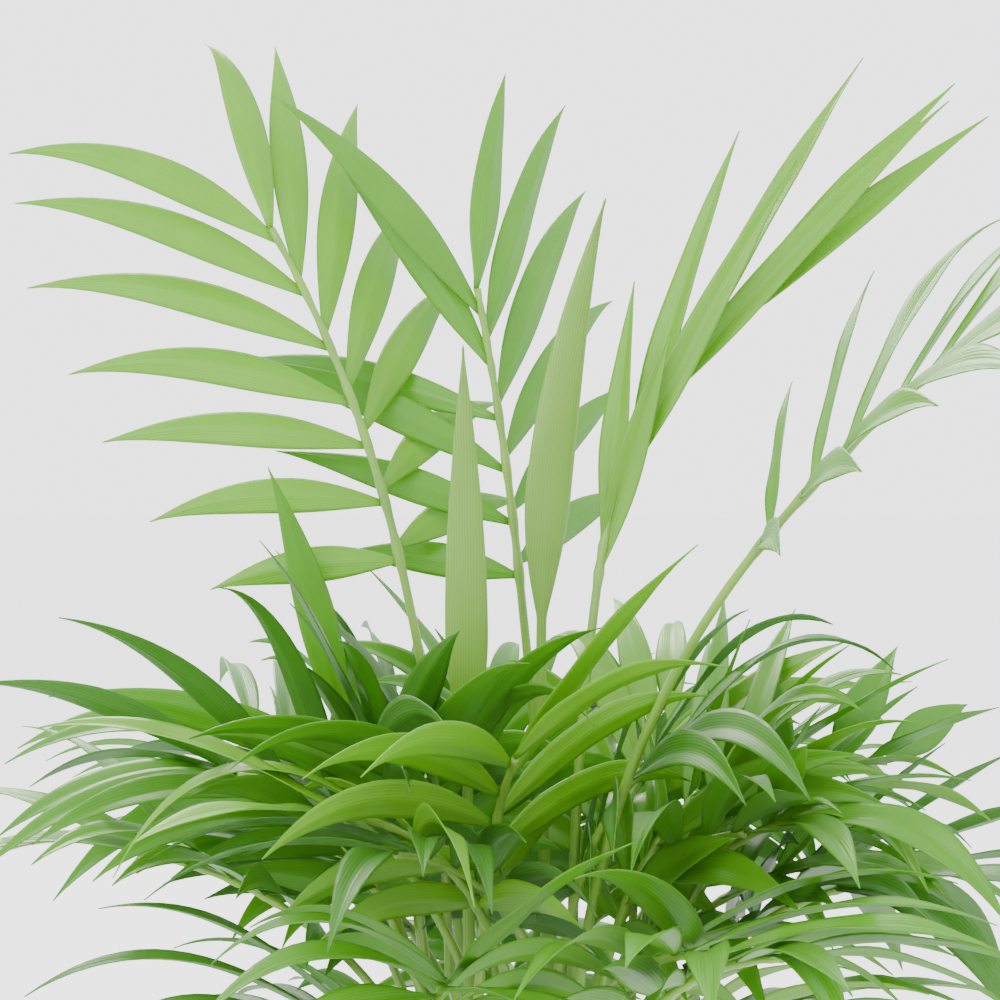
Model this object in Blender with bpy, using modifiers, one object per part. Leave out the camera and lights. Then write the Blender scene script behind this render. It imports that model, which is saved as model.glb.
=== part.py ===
# A potted parlour palm, also sold as bamboo palm: a clump of young canes in a plain clay pot.
#
# Each cane carries a few fronds. A frond is one rib, which is a stalk as far as its collar and a rachis
# past it, with a row of long leaflets down each side. Sizes are in metres and angles in degrees. +Z is
# up, the origin is the middle of the pot's flat underside, and -Y faces the viewer. A heading is a
# compass direction seen from above, counted from +X towards +Y, and a tilt is counted from upright.

import math
import random
from dataclasses import dataclass

import bmesh
import bpy
from mathutils import Quaternion, Vector
from mathutils.bvhtree import BVHTree

UP = Vector((0.0, 0.0, 1.0))
GAP = 0.0003

# The pot is thrown clay: a tapered cup with a thick band round its rim.
POT_HEIGHT = 0.132
POT_FOOT_RADIUS = 0.053
POT_BODY_RADIUS = 0.069
POT_BAND_RADIUS = 0.0745
POT_BAND_HEIGHT = 0.026
POT_WALL = 0.006
POT_FLOOR = 0.009
POT_ROUNDING = 0.0018
POT_STEPS = 28
SOIL_TOP = POT_HEIGHT - 0.014

# Canes stand on a spiral that winds out from the middle of the soil.
CANE_COUNT = 11
CANE_SPACING = 0.0135
CANE_FIRST_HEADING = -10.0
GOLDEN_ANGLE = 137.5
CANE_HEIGHT = 0.052
CANE_LEAN = 4.0
CANE_SIDES = 8
CANE_SHAPE = ((0.0, 0.0056), (0.12, 0.0045), (0.62, 0.0041), (1.0, 0.0032))

# A rib tapers from foot to tip. It is three-sided, so that leaflets leave it square to its upper faces.
RIB_SIDES = 3
FOOT_RADIUS = 0.0028
COLLAR_RADIUS = 0.0021
RIB_TIP_RADIUS = 0.0015
RIB_STEPS = 60
STALK_SECTIONS = 3

# Leaflets stand in pairs along the rachis, the left one of a pair a little past the right one.
PAIR_STAGGER = 0.3
PAIR_GAP = (1.0 + PAIR_STAGGER) / 2
LAST_PLACE = 0.985

# A leaflet is a lance-shaped blade with a ridge along its top.
LEAFLET_STEPS = 20
LEAFLET_THICKNESS = 0.0013
LEAFLET_ROOT_THICKNESS = 0.65
LEAFLET_SLIMMEST = 0.0105
LEAFLET_ROOT = 0.11
LEAFLET_MIDDLE = 0.42
LOUVRE = 16.0

# The corners of a leaflet's section, in half widths across it and half thicknesses off it, and those of
# the room that is kept clear for it.
BLADE = ((-1, -1), (1, -1), (0, 1))
ROOM = ((-1, -1), (1, -1), (1, 1), (-1, 1))

# A leaflet that would touch another frond swings, lifts, sags, or is cut short, and is left out at last.
CLEARANCE = 0.0005
NUDGES = (
    (0, 0, 1.0), (7, 5, 1.2), (-7, -6, 0.8), (13, 9, 1.5), (-13, 12, 0.6),
    (4, -14, 1.8), (19, 16, 0.9), (-19, 3, 2.2), (0, 26, 0.4), (9, -24, 1.3),
)
CUTS = (1.0, 0.82, 0.64)

# A rib that would touch another swings aside, and it is seated as close to its cane as it can stand.
SWINGS = (0, 9, -9, 18, -18, 27, -27, 36, -36, 45, -45)
SEATS = (0.0014, 0.0010, 0.0005, 0.0)


@dataclass
class Frond:
    """One frond: which cane it stands on, its pose, and its leaflets."""

    name: str
    cane: int
    heading: float
    tilts: tuple
    stalk: float
    rachis: float
    height: float = 0.9
    foot_turn: float = 0.0
    turn: float = 0.0
    pairs: int = 5
    leaf: float = 0.105
    width: float = 0.0145
    spread: tuple = (66.0, 30.0)
    raised: float = 20.0
    droops: tuple = (0.9, 0.9)
    sections: tuple = (0, 6, 13, 20)


@dataclass
class Station:
    """A point on a rib or a leaflet, with the directions along it, across it and off its upper face."""

    point: Vector
    along: Vector
    across: Vector
    over: Vector
    size: float


FINE = (0, 4, 9, 15, 20)

# The fronds that stand above the rest, each with its own pose.
TALL_FRONDS = [
    Frond("frond_tall_left", 4, 184, (2, 13, 30), 0.222, 0.148, foot_turn=180, turn=112, pairs=7,
          leaf=0.136, width=0.0165, spread=(78, 24), raised=26, droops=(0.45, 0.75), sections=FINE),
    Frond("frond_tall_back", 3, 184, (4, 6, 11), 0.215, 0.122, turn=112, pairs=6, leaf=0.144,
          width=0.0160, spread=(68, 30), raised=28, droops=(0.35, 0.55), sections=FINE),
    Frond("frond_opening_right", 5, 4, (-3, 8, 48), 0.215, 0.117, foot_turn=180, turn=60, pairs=4,
          leaf=0.166, width=0.0130, spread=(9, 6), raised=8, droops=(0.26, 0.20), sections=FINE),
    Frond("frond_front_right", 10, 322, (-2, 43, 57), 0.250, 0.115, turn=35, pairs=6, leaf=0.115,
          width=0.0150, spread=(60, 26), raised=18, droops=(0.6, 0.8), sections=FINE),
    Frond("frond_young_right", 8, 14, (5, 38, 95), 0.105, 0.085, turn=10, pairs=4, leaf=0.066,
          width=0.0185, spread=(62, 40), raised=58, droops=(0.25, 0.3), sections=FINE),
    Frond("frond_side_left", 9, 212, (2, 10, 40), 0.072, 0.078, turn=80, pairs=2, leaf=0.142,
          width=0.0165, spread=(64, 24), raised=8, droops=(0.6, 0.5), sections=FINE),
]

# Young fronds that are still folded shut, each a stalk that ends in one long upright blade.
SPEARS = [
    Frond("spear_tall", 0, 4, (-4.5, 1, 17), 0.190, 0.178, turn=90, width=0.0190),
    Frond("spear_front", 7, 265, (4, 4, 8), 0.140, 0.160, width=0.0170),
]
SPEAR_SIDES = 4
SPEAR_DEPTH = 0.3

# The rest of the crown by age, youngest first: tilts, stalk, rachis, longest leaflet, how high up its
# cane it stands, and its heading away from its cane's own. Every cane has one of each.
AGES = (
    ((6, 20, 50), 0.082, 0.070, 0.108, 0.95, 75),
    ((9, 33, 74), 0.094, 0.082, 0.118, 0.75, -70),
    ((12, 46, 90), 0.088, 0.086, 0.118, 0.55, 10),
    ((15, 62, 106), 0.064, 0.076, 0.104, 0.35, 85),
)
CROWN_SIZE = 39


def compass(heading):
    """The level direction of a heading."""
    angle = math.radians(heading)
    return Vector((math.cos(angle), math.sin(angle), 0.0))


def mix(first, last, share):
    return first + (last - first) * share


def start_scene():
    """Empty the scene and make the collection that the plant's nodes go in."""
    for thing in list(bpy.data.objects):
        bpy.data.objects.remove(thing)
    plant = bpy.data.collections.new("potted_palm")
    bpy.context.scene.collection.children.link(plant)
    return plant


def make_material(name, color, roughness):
    material = bpy.data.materials.new(name)
    material.use_nodes = True
    shader = material.node_tree.nodes["Principled BSDF"]
    shader.inputs["Base Color"].default_value = (*color, 1.0)
    shader.inputs["Roughness"].default_value = roughness
    shader.inputs["Metallic"].default_value = 0.0
    material.diffuse_color = (*color, 1.0)
    return material


def add_object(name, mesh, material, collection):
    mesh.materials.clear()
    mesh.materials.append(material)
    thing = bpy.data.objects.new(name, mesh)
    collection.objects.link(thing)
    return thing


def mesh_of(name, body):
    """A mesh made from a bmesh, which is freed."""
    mesh = bpy.data.meshes.new(name)
    body.to_mesh(mesh)
    body.free()
    return mesh


def turn_profile(name, profile, material, collection):
    """A turned solid. Its profile is (radius, height) pairs that go down the outer side."""
    body = bmesh.new()
    points = [body.verts.new((radius, 0.0, height)) for radius, height in profile]
    for upper, lower in zip(points, points[1:]):
        body.edges.new((upper, lower))
    thing = add_object(name, mesh_of(name, body), material, collection)
    screw = thing.modifiers.new("turned", "SCREW")
    screw.axis = "Z"
    screw.steps = POT_STEPS
    screw.render_steps = POT_STEPS
    screw.use_merge_vertices = True
    screw.merge_threshold = 0.00001
    return thing


def pot_wall_radius(height):
    """The radius of the outer wall below the band."""
    return mix(POT_FOOT_RADIUS, POT_BODY_RADIUS, height / (POT_HEIGHT - POT_BAND_HEIGHT))


def make_pot(clay, plant):
    band_foot = POT_HEIGHT - POT_BAND_HEIGHT
    inner_top = POT_BODY_RADIUS - POT_WALL
    profile = [
        (0.0, POT_FLOOR),
        (pot_wall_radius(POT_FLOOR) - POT_WALL, POT_FLOOR),
        (inner_top, band_foot),
        (inner_top + POT_ROUNDING, POT_HEIGHT - POT_ROUNDING),
        (inner_top + 2 * POT_ROUNDING, POT_HEIGHT),
        (POT_BAND_RADIUS - POT_ROUNDING, POT_HEIGHT),
        (POT_BAND_RADIUS, POT_HEIGHT - POT_ROUNDING),
        (POT_BAND_RADIUS - POT_ROUNDING / 2, band_foot + POT_ROUNDING),
        (POT_BAND_RADIUS - 2 * POT_ROUNDING, band_foot),
        (POT_BODY_RADIUS, band_foot),
        (POT_FOOT_RADIUS, POT_ROUNDING),
        (POT_FOOT_RADIUS - POT_ROUNDING, 0.0),
        (0.0, 0.0),
    ]
    turn_profile("pot", profile, clay, plant)


def make_soil(earth, plant):
    """A plug of potting soil that fills the pot to just under the rim."""
    band_foot = POT_HEIGHT - POT_BAND_HEIGHT
    inner_top = POT_BODY_RADIUS - POT_WALL
    foot = POT_FLOOR + GAP
    profile = [
        (0.0, SOIL_TOP),
        (inner_top - GAP, SOIL_TOP),
        (inner_top - GAP, band_foot),
        (pot_wall_radius(foot) - POT_WALL - GAP, foot),
        (0.0, foot),
    ]
    turn_profile("soil", profile, earth, plant)


def cane_axis(number, share):
    """A point on a cane's middle line, from its foot on the soil to its tip."""
    away = compass(CANE_FIRST_HEADING + GOLDEN_ANGLE * number)
    foot = away * (CANE_SPACING * math.sqrt(number + 0.3)) + UP * (SOIL_TOP + GAP)
    lean = math.radians(CANE_LEAN)
    return foot + (away * math.sin(lean) + UP * math.cos(lean)) * (CANE_HEIGHT * share)


def cane_radius(share):
    for (low, low_radius), (high, high_radius) in zip(CANE_SHAPE, CANE_SHAPE[1:]):
        if share <= high:
            return mix(low_radius, high_radius, (share - low) / (high - low))
    return CANE_SHAPE[-1][1]


def ring(station, across, over, sides):
    """Points round a station on an ellipse of two half widths, the first of them at its top."""
    points = []
    for side in range(sides):
        angle = math.tau * side / sides
        points.append(station.point + station.over * (over * math.cos(angle))
                      - station.across * (across * math.sin(angle)))
    return points


def sweep(rings, tip=None):
    """A closed body grown from ring to ring, which ends in a flat cap or in a point."""
    body = bmesh.new()
    foot = end = body.faces.new([body.verts.new(point) for point in rings[0]])
    for points in rings[1:] + ([[tip] * len(rings[0])] if tip else []):
        grown = bmesh.ops.extrude_face_region(body, geom=[end])["geom"]
        if end is not foot:
            bmesh.ops.delete(body, geom=[end], context="FACES_ONLY")
        end = next(item for item in grown if isinstance(item, bmesh.types.BMFace))
        for vertex, point in zip(end.verts, points):
            vertex.co = point
    if tip:
        bmesh.ops.pointmerge(body, verts=end.verts[:], merge_co=tip)
    bmesh.ops.recalc_face_normals(body, faces=body.faces[:])
    bmesh.ops.triangulate(body, faces=body.faces[:], quad_method="FIXED")
    return body


def make_canes(bark, plant):
    """The canes, and a tree of each that fronds are kept clear of."""
    blocks = []
    for number in range(CANE_COUNT):
        level = compass(0.0)
        rings = []
        for share, radius in CANE_SHAPE:
            station = Station(cane_axis(number, share), UP, level, level.cross(UP), radius)
            rings.append(ring(station, radius, radius, CANE_SIDES))
        body = sweep(rings)
        blocks.append(BVHTree.FromBMesh(body))
        name = f"cane_{number + 1:02d}"
        add_object(name, mesh_of(name, body), bark, plant)
    return blocks


def crown_fronds():
    """The rule-made fronds. Their pose and size vary a little from one to the next."""
    fronds = []
    for number in range(CROWN_SIZE):
        cane = number % CANE_COUNT
        tilts, stalk, rachis, leaf, height, turn_out = AGES[number // CANE_COUNT]
        dice = random.Random(f"crown {number}")
        own = CANE_FIRST_HEADING + GOLDEN_ANGLE * cane
        size = dice.uniform(0.9, 1.12)
        fronds.append(Frond(
            name=f"frond_{number + 1:02d}",
            cane=cane,
            heading=own + turn_out + dice.uniform(-24, 24),
            tilts=tuple(tilt * dice.uniform(0.85, 1.15) for tilt in tilts),
            stalk=stalk * size,
            rachis=rachis * size,
            height=height,
            turn=dice.uniform(-28, 28),
            pairs=dice.choice((5, 5, 6)),
            leaf=leaf * size,
            width=dice.uniform(0.0135, 0.0165),
            spread=(dice.uniform(62, 74), dice.uniform(30, 38)),
            raised=dice.uniform(8, 30),
            droops=(dice.uniform(0.5, 1.1), dice.uniform(0.6, 1.2)),
        ))
    return fronds


def trace_rib(frond, foot, swing):
    """The rib's stations from foot to tip. Each one's size is the rib's radius there."""
    ahead = compass(frond.heading + swing)
    length = frond.stalk + frond.rachis
    point = foot.copy()
    stations = []
    for step in range(RIB_STEPS + 1):
        distance = length * step / RIB_STEPS
        if distance < frond.stalk:
            share = distance / frond.stalk
            tilt = mix(frond.tilts[0], frond.tilts[1], share)
            radius = mix(FOOT_RADIUS, COLLAR_RADIUS, share)
        else:
            share = (distance - frond.stalk) / frond.rachis
            tilt = mix(frond.tilts[1], frond.tilts[2], share)
            radius = mix(COLLAR_RADIUS, RIB_TIP_RADIUS, share)
        tilt = math.radians(tilt)
        along = ahead * math.sin(tilt) + UP * math.cos(tilt)
        across = Quaternion(along, math.radians(frond.turn)) @ ahead.cross(UP)
        stations.append(Station(point.copy(), along, across, across.cross(along), radius))
        point += along * (length / RIB_STEPS)
    return stations


def rib_steps(frond):
    """Where the solid's rings go: a few up the stalk, then in every gap between leaflet pairs."""
    steps = [round(collar_step(frond) * part / STALK_SECTIONS) for part in range(STALK_SECTIONS)]
    gaps = [rachis_step(frond, pair_place(frond, pair + PAIR_GAP)) for pair in range(-1, frond.pairs - 1)]
    return steps + gaps + [RIB_STEPS]


def pair_place(frond, pair):
    """Where a pair stands along the rachis."""
    return LAST_PLACE * pair / (frond.pairs - 1 + PAIR_STAGGER)


def collar_step(frond):
    return round(RIB_STEPS * frond.stalk / (frond.stalk + frond.rachis))


def rachis_step(frond, place):
    """The station at a place along the rachis, from 0 at the collar to 1 at the tip."""
    return round(mix(collar_step(frond), RIB_STEPS, place))


def rib_body(frond, rib, spare=0.0):
    return sweep([ring(rib[step], rib[step].size + spare, rib[step].size + spare, RIB_SIDES)
                  for step in rib_steps(frond)])


def spear_width(share):
    """A folded blade's share of its full width: it swells off the stalk and ends in a long point."""
    if share < 0.3:
        return mix(0.2, 1.0, math.sin(math.pi / 2 * share / 0.3))
    return max(0.06, math.cos(math.pi / 2 * (share - 0.3) / 0.7))


def spear_body(frond, rib, spare=0.0):
    """A stalk that widens past its collar into a folded blade, deepest along its middle."""
    steps = [round(collar_step(frond) * part / STALK_SECTIONS) for part in range(STALK_SECTIONS)]
    rings = [ring(rib[step], rib[step].size + spare, rib[step].size + spare, SPEAR_SIDES) for step in steps]
    for share in (0.0, 0.12, 0.3, 0.5, 0.7, 0.86):
        station = rib[rachis_step(frond, share)]
        across = max(station.size, frond.width / 2 * spear_width(share)) + spare
        over = max(station.size, across * SPEAR_DEPTH) + spare
        rings.append(ring(station, across, over, SPEAR_SIDES))
    return sweep(rings, tip=rib[-1].point)


def leaflet_width(share):
    """A leaflet's share of its full width: a narrow root, a broad middle and a long point."""
    if share < LEAFLET_MIDDLE:
        return mix(LEAFLET_ROOT, 1.0, math.sin(math.pi / 2 * share / LEAFLET_MIDDLE))
    return math.cos(math.pi / 2 * (share - LEAFLET_MIDDLE) / (1.0 - LEAFLET_MIDDLE)) ** 1.15


def leaflet_length(place):
    """How long a leaflet is for its place on the rachis, from collar to tip, next to the longest."""
    if place < 0.68:
        return 1.0 - 0.40 * ((0.68 - place) / 0.68) ** 2
    return 1.0 - 0.18 * ((place - 0.68) / 0.32) ** 2


def trace_leaflet(frond, root, place, hand, habit, nudge, cut):
    """A leaflet's stations from root to tip. Each one's size is half the blade's width there."""
    swing, lift, sag = nudge
    spread = math.radians(mix(frond.spread[1], frond.spread[0], (1.0 - place) ** 1.2) + habit.swing + swing)
    raised = math.radians(frond.raised + habit.lift + lift)
    droop = mix(frond.droops[0], frond.droops[1], place) * habit.sag * sag
    outward = root.across * (hand * math.cos(raised)) + root.over * math.sin(raised)
    start = root.along * math.cos(spread) + outward * math.sin(spread)
    across = (root.along - start * start.dot(root.along)).normalized() * hand
    across = Quaternion(start, math.radians(LOUVRE) * hand) @ across
    length = frond.leaf * leaflet_length(place) * habit.length * cut
    width = frond.width * mix(0.8, 1.0, leaflet_length(place)) * mix(0.7, 1.0, cut)
    point = root.point.copy()
    stations = []
    for step in range(LEAFLET_STEPS + 1):
        share = step / LEAFLET_STEPS
        along = (start - UP * (droop * share ** 1.5)).normalized()
        bend = start.rotation_difference(along)
        twist = Quaternion(along, math.radians(habit.twist * share))
        wide = twist @ (bend @ across)
        stations.append(Station(point.copy(), along, wide, wide.cross(along), width / 2 * leaflet_width(share)))
        point += along * (length / LEAFLET_STEPS)
    return stations


def leaflet_body(frond, stations, corners=BLADE, spare=0.0):
    """A three-sided blade, with two edges and a ridge on its upper face, or the room that it needs."""
    thickness = max(LEAFLET_THICKNESS, LEAFLET_SLIMMEST * frond.leaf)
    rings = []
    for step in frond.sections[:-1]:
        point, facing = stations[step].point, stations[step or frond.sections[1]]
        wide = facing.across * (stations[step].size + spare)
        half = facing.over * (thickness * (0.5 if step else LEAFLET_ROOT_THICKNESS / 2) + spare)
        rings.append([point + wide * side + half * level for side, level in corners])
    return sweep(rings, tip=stations[-1].point + stations[-1].along * spare)


@dataclass
class Habit:
    """How one leaflet differs from the rule."""

    swing: float
    lift: float
    sag: float
    twist: float
    length: float


def leaflet_places(frond):
    """Where a frond's leaflets stand: place along the rachis, hand and habit."""
    dice = random.Random(frond.name)
    places = []
    for pair in range(frond.pairs):
        for hand, offset in ((1, 0.0), (-1, PAIR_STAGGER)):
            habit = Habit(dice.uniform(-3, 3), dice.uniform(-4, 4), dice.uniform(0.75, 1.25),
                          dice.uniform(-16, 16), dice.uniform(0.93, 1.05))
            places.append((pair_place(frond, pair + offset), hand, habit))
    return places


def touches(body, blocks):
    """Whether a body meets any block. The body is freed."""
    tree = BVHTree.FromBMesh(body)
    body.free()
    return any(tree.overlap(block) for block in blocks)


def grow_ribs(fronds, canes):
    """Stand each rib by its cane, swung aside where it would touch another."""
    ribs = []
    blocks = list(canes)
    for frond in fronds:
        shape = spear_body if frond in SPEARS else rib_body
        for swing, closer in ((swing, closer) for swing in SWINGS for closer in SEATS):
            rib = trace_rib(frond, rib_foot(frond, swing, closer), swing)
            if not touches(shape(frond, rib, GAP), blocks):
                break
        else:
            raise RuntimeError(f"{frond.name} has no clear place on its cane")
        body = shape(frond, rib)
        blocks.append(BVHTree.FromBMesh(body))
        body.free()
        ribs.append(rib)
    return ribs, blocks


def rib_foot(frond, swing, closer):
    """A spear stands on its cane's tip, and any other frond beside its cane."""
    if frond in SPEARS:
        return cane_axis(frond.cane, 1.0) + UP * (2 * GAP)
    beside = cane_radius(frond.height) + FOOT_RADIUS + 2 * GAP - closer
    side = compass(frond.heading + frond.foot_turn + swing)
    return cane_axis(frond.cane, frond.height) + side * beside


def grow_leaflets(frond, rib, blocks):
    """The frond's leaflets that can be laid clear of the blocks, as lists of stations."""
    collar = collar_step(frond)
    leaflets = []
    for place, hand, habit in leaflet_places(frond):
        root = rib[rachis_step(frond, place)]
        for cut, nudge in ((cut, nudge) for cut in CUTS for nudge in NUDGES):
            stations = trace_leaflet(frond, root, place, hand, habit, nudge, cut)
            if not touches(leaflet_body(frond, stations, ROOM, CLEARANCE), blocks):
                leaflets.append(stations)
                break
    return leaflets


def drop_scraps(mesh):
    """Keep the largest body of a mesh, and drop any leaflet that the union left loose."""
    body = bmesh.new()
    body.from_mesh(mesh)
    unseen = set(body.faces)
    largest = []
    while unseen:
        island = [unseen.pop()]
        for face in island:
            for edge in face.edges:
                neighbours = set(edge.link_faces) & unseen if edge.is_manifold else set()
                unseen -= neighbours
                island.extend(neighbours)
        largest = max(largest, island, key=len)
    loose = set(body.faces).difference(largest)
    bmesh.ops.delete(body, geom=list(loose), context="FACES")
    body.to_mesh(mesh)
    body.free()


def fuse(name, bodies, material, plant):
    """One closed node from several bodies, by a union."""
    parts = bpy.data.collections.new(f"{name}_parts")
    bpy.context.scene.collection.children.link(parts)
    node = add_object(name, mesh_of(name, bodies[0]), material, plant)
    for number, body in enumerate(bodies[1:]):
        add_object(f"{name}_part_{number}", mesh_of(name, body), material, parts)
    union = node.modifiers.new("union", "BOOLEAN")
    union.operand_type = "COLLECTION"
    union.collection = parts
    union.operation = "UNION"
    union.solver = "EXACT"
    joined = bpy.data.meshes.new_from_object(node.evaluated_get(bpy.context.evaluated_depsgraph_get()))
    node.modifiers.clear()
    drop_scraps(joined)
    node.data = joined
    for part in list(parts.objects):
        bpy.data.objects.remove(part)
    bpy.data.collections.remove(parts)
    return node


def make_fronds(greens, plant, canes):
    """All the fronds. The ribs come first, so that no leaflet lies across one that grows later."""
    fronds = SPEARS + TALL_FRONDS + crown_fronds()
    ribs, rib_blocks = grow_ribs(fronds, canes)
    grown = []
    for number, (frond, rib) in enumerate(zip(fronds, ribs)):
        green = greens[number % len(greens)]
        if frond in SPEARS:
            add_object(frond.name, mesh_of(frond.name, spear_body(frond, rib)), green, plant)
            continue
        own = len(canes) + number
        others = rib_blocks[:own] + rib_blocks[own + 1:] + grown
        leaflets = grow_leaflets(frond, rib, others)
        node = fuse(frond.name, [rib_body(frond, rib)] + [leaflet_body(frond, leaf) for leaf in leaflets],
                    green, plant)
        block = bmesh.new()
        block.from_mesh(node.data)
        grown.append(BVHTree.FromBMesh(block))
        block.free()


def make_palm():
    plant = start_scene()
    clay = make_material("fired_clay", (0.42, 0.15, 0.07), 0.85)
    earth = make_material("potting_soil", (0.035, 0.022, 0.014), 0.95)
    bark = make_material("green_cane", (0.16, 0.24, 0.06), 0.55)
    greens = [make_material("leaf_mid", (0.14, 0.34, 0.035), 0.45),
              make_material("leaf_dark", (0.075, 0.21, 0.025), 0.45),
              make_material("leaf_light", (0.26, 0.46, 0.06), 0.45)]
    make_pot(clay, plant)
    make_soil(earth, plant)
    canes = make_canes(bark, plant)
    make_fronds(greens, plant, canes)


make_palm()
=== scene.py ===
# A potted parlour palm, also sold as bamboo palm, dressed over its solid model. The sections follow the
# plant as it is put together: pot, soil, canes, ribs, leaflets, and the spears that are still shut.

import math
import random
from dataclasses import dataclass

import bmesh
import bpy
import numpy as np
from mathutils import Matrix, Quaternion, Vector, noise
from mathutils.bvhtree import BVHTree


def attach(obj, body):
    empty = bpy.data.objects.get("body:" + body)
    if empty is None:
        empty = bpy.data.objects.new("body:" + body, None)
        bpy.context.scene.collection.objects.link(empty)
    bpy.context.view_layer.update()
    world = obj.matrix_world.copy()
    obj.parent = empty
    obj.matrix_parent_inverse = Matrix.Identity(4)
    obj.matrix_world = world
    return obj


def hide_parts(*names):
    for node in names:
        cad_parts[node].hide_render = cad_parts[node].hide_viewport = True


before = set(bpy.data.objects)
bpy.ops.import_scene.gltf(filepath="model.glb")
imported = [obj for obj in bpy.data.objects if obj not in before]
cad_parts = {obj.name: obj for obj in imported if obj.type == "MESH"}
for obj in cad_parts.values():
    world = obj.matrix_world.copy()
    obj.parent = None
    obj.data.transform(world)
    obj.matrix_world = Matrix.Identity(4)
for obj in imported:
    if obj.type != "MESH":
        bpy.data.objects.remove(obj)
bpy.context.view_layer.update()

# Camera, light and floor. The camera stands level with the crown and looks along +Y at the upper half of
# the plant. The light is a pale sky with one soft lamp behind and one before. The floor is a wide pale disc
# with a glow of its own, so that it fades into the sky.
CAMERA_PLACE = (-0.0125, -0.75, 0.41)
CAMERA_LENS = 64.8
CAMERA_NEAR = 0.01
SENSOR_WIDTH = 36.0
SKY_STRENGTH = 3.3
LAMPS_AIM = Vector((0.0, 0.0, 0.4))
FLOOR_RADIUS = 40.0
FLOOR_SIDES = 64
FLOOR_GLOW = 0.72


def linear(code):
    """A colour's linear values from its sRGB hex code."""
    shares = [int(code[place:place + 2], 16) / 255 for place in (1, 3, 5)]
    values = [share / 12.92 if share <= 0.04045 else ((share + 0.055) / 1.055) ** 2.4 for share in shares]
    return (*values, 1.0)


def add_node(tree, kind, inputs=(), **settings):
    """A shader node with its settings. Each input is a value, or the output that it is linked to."""
    made = tree.nodes.new(kind)
    for name, value in settings.items():
        setattr(made, name, value)
    for name, value in dict(inputs).items():
        if isinstance(value, bpy.types.NodeSocket):
            tree.links.new(value, made.inputs[name])
        else:
            made.inputs[name].default_value = value
    return made


def new_material(name):
    """An empty material and its output node."""
    material = bpy.data.materials.new(name)
    material.use_nodes = True
    material.node_tree.nodes.clear()
    return material, add_node(material.node_tree, "ShaderNodeOutputMaterial")


camera = bpy.data.objects.new("camera", bpy.data.cameras.new("camera"))
bpy.context.scene.collection.objects.link(camera)
camera.location = CAMERA_PLACE
camera.rotation_euler = (math.pi / 2, 0.0, 0.0)
camera.data.lens = CAMERA_LENS
camera.data.sensor_width = SENSOR_WIDTH
camera.data.clip_start = CAMERA_NEAR
bpy.context.scene.camera = camera

SKY = linear("#f3f2f7")
world = bpy.data.worlds.new("studio")
bpy.context.scene.world = world
world.use_nodes = True
world.node_tree.nodes["Background"].inputs["Color"].default_value = SKY
world.node_tree.nodes["Background"].inputs["Strength"].default_value = SKY_STRENGTH

# Each lamp's name, place, width, power and tint. All of them point at the crown.
LAMPS = (
    ("lamp_back", (-0.5, 1.3, 1.6), 0.8, 70.0, "#fffaf0"),
    ("lamp_front", (-1.1, -1.3, 1.4), 1.4, 34.0, "#ffffff"),
)
for lamp_name, place, width, power, tint in LAMPS:
    lamp = bpy.data.objects.new(lamp_name, bpy.data.lights.new(lamp_name, "AREA"))
    bpy.context.scene.collection.objects.link(lamp)
    lamp.location = place
    lamp.rotation_mode = "QUATERNION"
    lamp.rotation_quaternion = (Vector(place) - LAMPS_AIM).to_track_quat("Z", "Y")
    lamp.data.size = width
    lamp.data.energy = power
    lamp.data.color = linear(tint)[:3]

# The floor is matte board, lit by the lamps, with the sky's own light mixed in.
studio_floor, floor_output = new_material("studio_floor")
floor_tree = studio_floor.node_tree
floor_matte = add_node(floor_tree, "ShaderNodeBsdfDiffuse", {"Color": linear("#efeef2")})
floor_light = add_node(floor_tree, "ShaderNodeEmission", {"Color": SKY, "Strength": SKY_STRENGTH})
floor_mix = add_node(floor_tree, "ShaderNodeMixShader", {0: FLOOR_GLOW, 1: floor_matte.outputs[0],
                                                         2: floor_light.outputs[0]})
floor_tree.links.new(floor_mix.outputs[0], floor_output.inputs["Surface"])
disc = bmesh.new()
bmesh.ops.create_circle(disc, cap_ends=True, segments=FLOOR_SIDES, radius=FLOOR_RADIUS)
floor_mesh = bpy.data.meshes.new("floor")
disc.to_mesh(floor_mesh)
disc.free()
floor_mesh.materials.append(studio_floor)
floor = bpy.data.objects.new("floor", floor_mesh)
bpy.context.scene.collection.objects.link(floor)

# The pot. It is a plain thrown and fired clay cup with a thick band round its rim, unglazed, and finished
# smooth on the wheel, so that it has soft edges and faint turning lines.
UP = Vector((0.0, 0.0, 1.0))
POT_HEIGHT = 0.132
POT_FOOT_RADIUS = 0.053
POT_BODY_RADIUS = 0.069
POT_BAND_RADIUS = 0.0745
POT_BAND_HEIGHT = 0.026
POT_WALL = 0.006
POT_FLOOR = 0.009
POT_ROUNDING = 0.0018
SOIL_TOP = POT_HEIGHT - 0.014
POT_SEGMENTS = 128
POT_EDGE = 0.0012
POT_EDGE_STEPS = 3
SHARP_ANGLE = 25.0
MERGE_DISTANCE = 0.00001


def mix(first, last, share):
    """The value that lies a share of the way from first to last."""
    return first + (last - first) * share


def pot_wall_radius(height):
    """The radius of the outer wall below the band."""
    return mix(POT_FOOT_RADIUS, POT_BODY_RADIUS, height / (POT_HEIGHT - POT_BAND_HEIGHT))


def add_piece(name, mesh, material, nodes):
    """A finished piece, and the model's nodes that it stands for, if any."""
    mesh.materials.append(material)
    piece = bpy.data.objects.new(name, mesh)
    bpy.context.scene.collection.objects.link(piece)
    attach(piece, "root")
    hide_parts(*nodes)


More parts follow.
